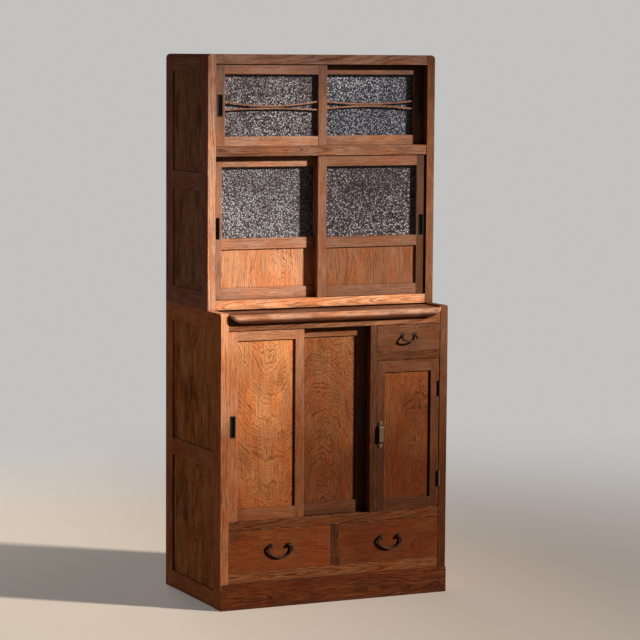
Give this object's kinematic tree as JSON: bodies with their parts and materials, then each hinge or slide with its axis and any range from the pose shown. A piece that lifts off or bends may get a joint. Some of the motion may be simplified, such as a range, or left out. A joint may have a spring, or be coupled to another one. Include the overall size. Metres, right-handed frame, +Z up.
{
  "type": "kitchen cabinet",
  "caption": "Two-case wooden mizuya kitchen cabinet: shallow upper case with sliding glazed doors on a deeper cupboard with sliding and hinged panelled doors and drawers.",
  "frame": {"origin": "middle of the bounding box's bottom face, on the floor", "axes": "+X to the right seen from the front, +Y towards the back, +Z up"},
  "size_m": [0.818, 0.4982, 1.79],
  "materials": {
    "frame_wood": "satin reddish-brown stain, worn at the edges",
    "panel_wood": "satin reddish-brown stain over a strong cathedral grain",
    "inner_wood": "bare, aged softwood",
    "glass": "pressed grained glass",
    "iron": "dark forged iron",
    "bronze": "dull light bronze",
    "pull_metal": "darkened copper",
    "hinge_metal": "tarnished brass"
  },
  "bodies": {
    "case": {"upper_left_side_frame": "frame_wood", "upper_right_side_frame": "frame_wood", "upper_side_panels": "panel_wood", "upper_top_rail": "frame_wood", "upper_top_board": "frame_wood", "upper_shelf_rail": "frame_wood", "upper_bottom_rail": "frame_wood", "upper_inner_boards": "inner_wood", "upper_back": "inner_wood", "lower_left_side_frame": "frame_wood", "lower_right_side_frame": "frame_wood", "lower_side_panels": "panel_wood", "lower_top_board": "frame_wood", "top_moulding": "frame_wood", "lower_top_rail": "frame_wood", "lower_middle_rail": "frame_wood", "drawer_door_rail": "frame_wood", "lower_bottom_rail": "frame_wood", "cupboard_divider": "frame_wood", "drawer_divider": "frame_wood", "lower_inner_boards": "inner_wood", "plinth_board": "frame_wood", "lower_back": "inner_wood", "drawer_runners": "inner_wood", "hinge_case_leaves": "hinge_metal"},
    "left_small_door": {"left_small_door_frame": "frame_wood", "left_small_door_glass": "glass", "left_small_door_pull": "pull_metal"},
    "left_tall_door": {"left_tall_door_frame": "frame_wood", "left_tall_door_glass": "glass", "left_tall_door_panel": "panel_wood", "left_tall_door_pull": "pull_metal"},
    "left_cupboard_door": {"left_cupboard_door_frame": "frame_wood", "left_cupboard_door_panel": "panel_wood", "left_cupboard_door_pull": "pull_metal"},
    "right_small_door": {"right_small_door_frame": "frame_wood", "right_small_door_glass": "glass", "right_small_door_pull": "pull_metal"},
    "right_tall_door": {"right_tall_door_frame": "frame_wood", "right_tall_door_glass": "glass", "right_tall_door_panel": "panel_wood", "right_tall_door_pull": "pull_metal"},
    "right_cupboard_door": {"right_cupboard_door_frame": "frame_wood", "right_cupboard_door_panel": "panel_wood", "right_cupboard_door_pull": "pull_metal"},
    "hinged_door": {"hinged_door_frame": "frame_wood", "hinged_door_panel": "panel_wood", "hinged_door_pull": "bronze", "hinge_door_leaves": "hinge_metal"},
    "small_drawer": {"small_drawer_front": "frame_wood", "small_drawer_box": "inner_wood", "small_drawer_pull": "bronze"},
    "left_drawer": {"left_drawer_front": "frame_wood", "left_drawer_box": "inner_wood", "left_drawer_handle_eyes": "iron"},
    "left_bail": {"left_drawer_handle": "iron"},
    "right_drawer": {"right_drawer_front": "frame_wood", "right_drawer_box": "inner_wood", "right_drawer_handle_eyes": "iron"},
    "right_bail": {"right_drawer_handle": "iron"}
  },
  "joints": [
    {"name": "left_small_door_slide", "type": "slide", "parent": "case", "child": "left_small_door", "axis": [1, 0, 0], "range_m": [0, 0.365]},
    {"name": "left_tall_door_slide", "type": "slide", "parent": "case", "child": "left_tall_door", "axis": [1, 0, 0], "range_m": [0, 0.365]},
    {"name": "left_cupboard_door_slide", "type": "slide", "parent": "case", "child": "left_cupboard_door", "axis": [1, 0, 0], "range_m": [0, 0.23675]},
    {"name": "right_small_door_slide", "type": "slide", "parent": "case", "child": "right_small_door", "axis": [-1, 0, 0], "range_m": [0, 0.365]},
    {"name": "right_tall_door_slide", "type": "slide", "parent": "case", "child": "right_tall_door", "axis": [-1, 0, 0], "range_m": [0, 0.365]},
    {"name": "right_cupboard_door_slide", "type": "slide", "parent": "case", "child": "right_cupboard_door", "axis": [-1, 0, 0], "range_m": [0, 0.23675]},
    {"name": "hinged_door_swing", "type": "hinge", "parent": "case", "child": "hinged_door", "pos_m": [0.37965, -0.2302, 0.545], "axis": [0, 0, 1], "range_deg": [0, 170]},
    {"name": "left_drawer_slide", "type": "slide", "parent": "case", "child": "left_drawer", "axis": [0, -1, 0], "range_m": [0, 0.32]},
    {"name": "right_drawer_slide", "type": "slide", "parent": "case", "child": "right_drawer", "axis": [0, -1, 0], "range_m": [0, 0.32]},
    {"name": "small_drawer_slide", "type": "slide", "parent": "case", "child": "small_drawer", "axis": [0, -1, 0], "range_m": [0, 0.3]},
    {"name": "left_bail_swing", "type": "hinge", "parent": "left_drawer", "child": "left_bail", "pos_m": [-0.19875, -0.2329, 0.201], "axis": [-1, 0, 0], "range_deg": [-5, 165]},
    {"name": "right_bail_swing", "type": "hinge", "parent": "right_drawer", "child": "right_bail", "pos_m": [0.19875, -0.2329, 0.201], "axis": [-1, 0, 0], "range_deg": [-5, 165]}
  ]
}
